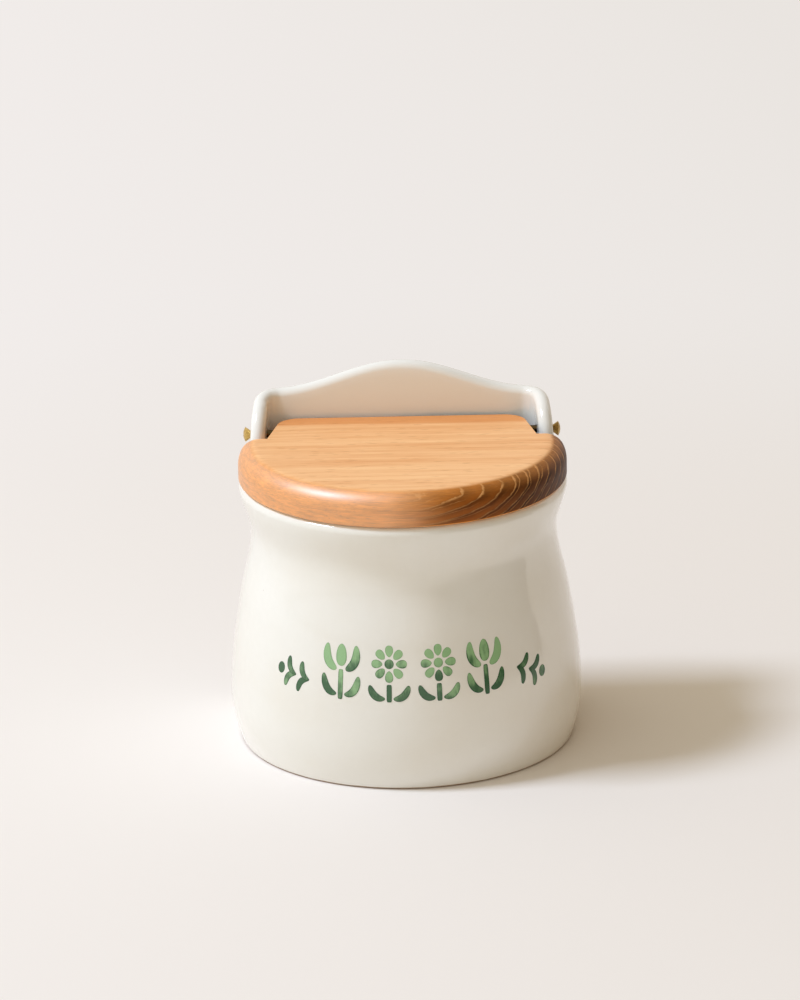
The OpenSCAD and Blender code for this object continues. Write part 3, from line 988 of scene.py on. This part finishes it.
class SALTBOX_OT_screws(bpy.types.Operator):
    """Turns the two brass screws, threads them and sinks their cross recesses"""

    bl_idname = "saltbox.screws"
    bl_label = "Hinge screws"

    POINT_RADIUS = 0.12 * MM
    RUN_OUT, RIM_EASE = 0.3 * MM, (0.12 * MM, 0.15 * MM)
    DOME_RINGS = 9
    BLADE_THICK, BLADE_TALL, BLADE_TAPER, CROSS_TURN = 0.75 * MM, 2.6 * MM, (0.35, 0.6, 1), 20
    THREAD_STEPS, THREAD_ROOT, THREAD_HALF, THREAD_FADE = 20, 0.93, 0.42, 6

    def execute(self, context):
        size = context.scene.salt_box_screws
        brass = brass_material(size)
        for name, side in (("left", -1), ("right", 1)):
            screw = self.screw(size, f"brass_screw_{name}")
            onto_hinge(screw, side)
            smooth(screw, 40)
            dress(screw, brass, "lid", "brass", f"hinge_screw_{name}")
        return {"FINISHED"}

    def screw(self, size, name):
        """A point, a core, a plain shank and a raised countersunk head, with the cross and the thread."""
        tip = SCREW_LOW.x
        neck = SCREW_HIGH.x - size.cone - size.dome
        core, shank, head = size.core / 2, size.shank / 2, size.head / 2
        dome_r = (head ** 2 + size.dome ** 2) / (2 * size.dome)
        rim = neck + size.cone
        bare = neck - size.plain
        inward, down = self.RIM_EASE
        rings = [(core, tip + size.point), (core, bare - self.RUN_OUT), (shank, bare),
                 (shank, neck), (head - inward, rim - down), (head, rim)]
        for i in range(1, self.DOME_RINGS):
            a = asin(head / dome_r) * (1 - i / self.DOME_RINGS)
            rings.append((dome_r * sin(a), rim + dome_r * cos(a) - (dome_r - size.dome)))
        body = turned(name, self.POINT_RADIUS, tip, rings)
        cut_with(body, *self.cross(size, rim + size.dome))
        thread = self.thread(size, tip + size.point * 0.6, bare - 0.2 * MM)
        work_on(body)
        thread.select_set(True)
        bpy.ops.object.join()
        return body

    def cross(self, size, top):
        """The two tapered blades that cut the cross recess."""
        blades = []
        for turn in (0, pi / 2):
            tidy_selection()
            bpy.ops.mesh.primitive_cube_add(size=1, location=(0, 0, top))
            blade = added("blade")
            blade.scale = (size.recess, self.BLADE_THICK, self.BLADE_TALL)
            blade.rotation_euler.z = turn + radians(self.CROSS_TURN)
            bpy.ops.object.transform_apply(location=False, rotation=False, scale=True)
            mode("EDIT")
            select_where(blade, "VERT", lambda v: v.co.z < 0)
            bpy.ops.transform.resize(value=self.BLADE_TAPER, center_override=(0, 0, top))
            mode("OBJECT")
            bpy.ops.object.transform_apply(location=True, rotation=True, scale=True)
            blades.append(blade)
        return blades

    def thread(self, size, low, high):
        """A ridge wound round the core: a small triangle, turned and lifted step by step."""
        turns = int((high - low) / size.pitch)
        core, crest, half = self.THREAD_ROOT * size.core / 2, size.shank / 2, self.THREAD_HALF * size.pitch

        def place(u, v):
            turn = v * turns * 2 * pi
            fade = min(1, self.THREAD_FADE * min(v, 1 - v) + 0.05)
            corner = round(u * 3) % 3
            radius = (core, core + (crest - core) * fade, core)[corner]
            z = low + v * turns * size.pitch + (-half, 0, half)[corner]
            return Vector((radius * cos(turn), radius * sin(turn), z))

        ridge = sheet("thread", 3, self.THREAD_STEPS * turns, place)
        close_up(ridge)
        edit_all(ridge)
        bpy.ops.mesh.fill_holes(sides=4)
        bpy.ops.mesh.normals_make_consistent(inside=False)
        mode("OBJECT")
        return ridge


class SALTBOX_OT_studio(bpy.types.Operator):
    """Sets up the floor, the key lamp, the soft light all around and the camera"""

    bl_idname = "saltbox.studio"
    bl_label = "Studio"

    FLOOR_WIDTH = 12
    KEY_PLACE, KEY_AIM = Vector((-1.70, -0.26, 2.42)), Vector((0, 0, 0.06))
    CAMERA_PLACE = (-1.25 * MM, -2.0, 787.62 * MM)

    def execute(self, context):
        scene, settings = context.scene, context.scene.salt_box_studio
        self.floor(settings)
        self.key_lamp(settings)
        self.air(scene, settings)
        self.camera(scene, settings)
        scene.view_settings.view_transform = "Standard"
        return {"FINISHED"}

    def rays(self, s, *kinds):
        """Wires that are 1 for one kind of ray each."""
        outputs = s.node("LightPath").socket.node.outputs
        return [Wire(s, outputs[f"Is {kind} Ray"]) for kind in kinds]

    def backdrop(self, s, across, away, settings):
        """The backdrop's colour, darker to the right and further off. Both are metres on the floor and
        parts of a direction in the air."""
        share = (across * 2.2 + away * 0.3 + 0.55) / 1.4
        return s.mix(share, settings.backdrop, settings.backdrop_far)

    def floor(self, settings):
        """Pale paper that takes the object's shadow and turns into the plain backdrop further off.
        In front on the right, gloss sees the darker room's colour instead of the paper, a painted
        reflection."""
        tidy_selection()
        bpy.ops.mesh.primitive_plane_add(size=self.FLOOR_WIDTH)
        floor = added("studio_floor")
        s = Shader("studio_floor")
        place = s.node("TexCoord", output="Object")
        x, y = s.split(place)[:2]
        reach = (x * x + y * y) ** 0.5
        camera, glossy = self.rays(s, "Camera", "Glossy")
        # Painted reflection: on a ragged patch of floor in front on the right, glossy rays see the dark
        # room's colour.
        ragged = (s.noise(place, 22.0, detail=3) - 0.5) * 0.05
        in_front = 1 - s.step(y - x * 0.09 + ragged, -0.012, 0.004)
        dark_mirror_zone = s.step(reach, 0.27, 0.34) * in_front * s.step(x + y * 0.2, 0.03, 0.28)
        colour = s.mix(glossy * dark_mirror_zone, settings.floor, settings.room)
        paper = s.node("BsdfDiffuse", inputs={"Color": colour})
        plain = s.node("Emission", inputs={"Color": self.backdrop(s, x, y, settings)})
        shade = s.node("MixShader", inputs={0: camera * s.step(reach, 0.22, 0.62), 1: paper, 2: plain})
        s.node("OutputMaterial", inputs={"Surface": shade})
        floor.data.materials.append(s.owner)

    def key_lamp(self, settings):
        """A soft box high on the left, as the shadow on the floor tells."""
        tidy_selection()
        bpy.ops.object.light_add(type="AREA", location=self.KEY_PLACE)
        lamp = added("key_lamp")
        lamp.rotation_euler = (self.KEY_AIM - self.KEY_PLACE).to_track_quat("-Z", "Y").to_euler()
        lamp.data.energy = settings.key
        lamp.data.size = settings.key_size
        lamp.data.color = settings.key_tint

    def air(self, scene, settings):
        """The backdrop's colour where it is seen or mirrored, and a soft light from everywhere else."""
        s = Shader("studio_air", bpy.data.worlds)
        x, y = s.split(s.node("TexCoord", output="Generated"))[:2]
        camera, glossy, through = self.rays(s, "Camera", "Glossy", "Transmission")
        fill = s.mix((x + 1) / 2, settings.fill_near, settings.fill_far)
        fill = s.mix(s.step(x * -0.6 - y * 0.8, 0.45, 1.0), fill, settings.fill_front)
        seen = camera.at_least(through).at_least(glossy)
        colour = s.mix(seen, fill, self.backdrop(s, x, y, settings))
        # Painted reflection: glossy rays towards the front right see the dark room's colour.
        dark_mirror_zone = (1 - s.step(y - x * 0.50, -0.02, 0.02)) * s.step(x, 0.12, 0.52)
        colour = s.mix(glossy * dark_mirror_zone, colour, settings.room)
        s.node("OutputWorld", inputs={"Surface": s.node("Background", inputs={"Color": colour})})
        scene.world = s.owner

    def camera(self, scene, settings):
        """The photograph's view, worked out from the ellipses of the foot and the lid."""
        tidy_selection()
        bpy.ops.object.camera_add(location=self.CAMERA_PLACE)
        camera = added("photo_camera")
        camera.data.sensor_fit = "VERTICAL"
        camera.data.sensor_height = 36
        camera.data.lens = settings.lens
        camera.data.clip_start = 0.05
        camera.data.clip_end = 50
        ahead = Vector((0, cos(settings.pitch), -sin(settings.pitch)))
        right = Vector((1, 0, 0))
        up = right.cross(ahead)
        c, s = cos(settings.roll), sin(settings.roll)
        turn = Matrix((c * right - s * up, s * right + c * up, -ahead)).transposed()
        camera.rotation_euler = turn.to_euler()
        scene.camera = camera


class SALTBOX_PT_panel(bpy.types.Panel):
    """Lists the steps that build the salt box"""

    bl_idname = "SALTBOX_PT_panel"
    bl_label = "Salt box"
    bl_space_type = "VIEW_3D"
    bl_region_type = "UI"
    bl_category = "Salt box"

    def draw(self, context):
        for step in STEPS:
            self.layout.operator(step.bl_idname)


SETTINGS = {
    "salt_box_crock": CrockSettings,
    "salt_box_stencil": StencilSettings,
    "salt_box_lid": LidSettings,
    "salt_box_screws": ScrewSettings,
    "salt_box_studio": StudioSettings,
}
STEPS = (SALTBOX_OT_crock, SALTBOX_OT_stencil, SALTBOX_OT_lid, SALTBOX_OT_screws, SALTBOX_OT_studio)


def register():
    for name, group in SETTINGS.items():
        bpy.utils.register_class(group)
        setattr(bpy.types.Scene, name, PointerProperty(type=group))
    for step in STEPS:
        bpy.utils.register_class(step)
    bpy.utils.register_class(SALTBOX_PT_panel)


def unregister():
    bpy.utils.unregister_class(SALTBOX_PT_panel)
    for step in reversed(STEPS):
        bpy.utils.unregister_class(step)
    for name, group in SETTINGS.items():
        delattr(bpy.types.Scene, name)
        bpy.utils.unregister_class(group)


def main():
    register()
    bpy.ops.saltbox.crock()
    bpy.ops.saltbox.stencil()
    bpy.ops.saltbox.lid()
    bpy.ops.saltbox.screws()
    bpy.ops.saltbox.studio()


if __name__ == "__main__":
    main()
